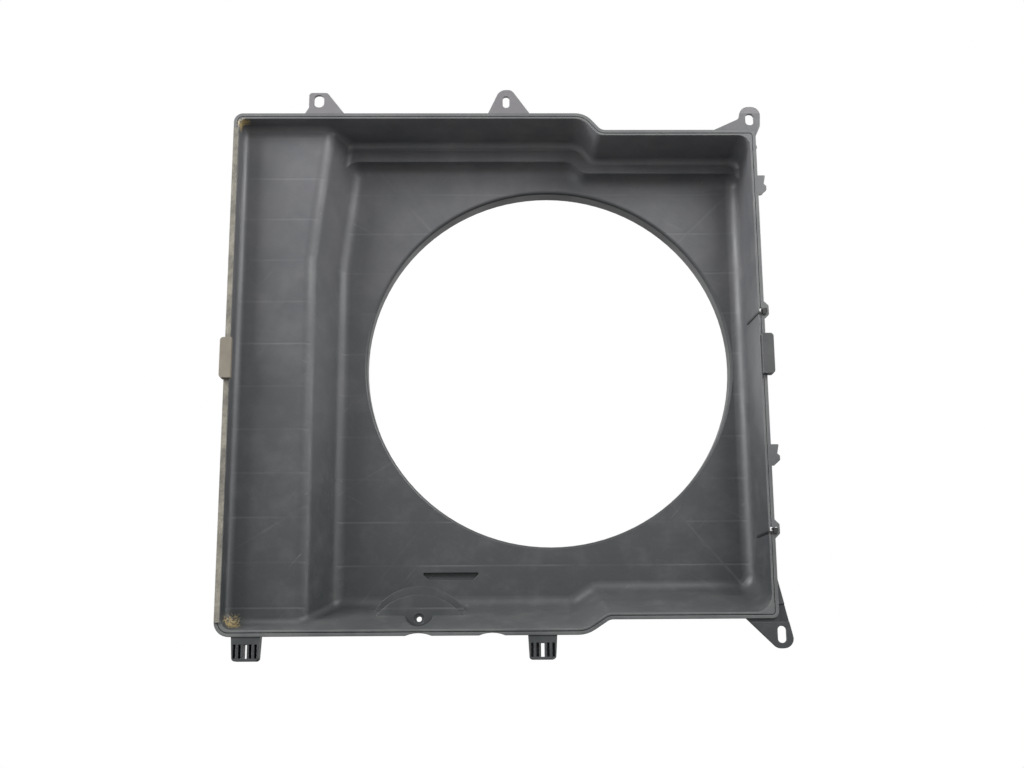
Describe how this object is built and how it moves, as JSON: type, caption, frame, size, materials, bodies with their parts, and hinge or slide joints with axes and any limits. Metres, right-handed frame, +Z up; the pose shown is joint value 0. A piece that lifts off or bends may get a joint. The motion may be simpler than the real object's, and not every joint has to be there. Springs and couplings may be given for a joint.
{
  "type": "radiator fan shroud",
  "caption": "Moulded radiator fan shroud: rectangular tray with a stepped flange, a shallow side panel, a deep plenum and a large round fan opening.",
  "frame": {"origin": "on the fan axis, half-way along the ring wall of the fan opening", "axes": "+Z up as mounted; +Y along the fan axis, from the open radiator side towards the engine; +X to the right seen from the radiator side"},
  "size_m": [0.6598, 0.1099, 0.6902],
  "materials": {
    "shell_plastic": "dark grey moulded polypropylene, fine grain, dusty",
    "foam": "dusty beige-grey foam strip",
    "clip_plastic": "dusty moulded plastic",
    "tie_plastic": "black nylon, slight sheen"
  },
  "bodies": {
    "root": {"shroud_shell": "shell_plastic", "seal_strip_left_upper": "foam", "seal_strip_left_lower": "foam", "edge_clip_left": "clip_plastic", "edge_clip_right": "clip_plastic", "cable_tie_upper": "tie_plastic", "cable_tie_lower": "tie_plastic"}
  },
  "joints": []
}
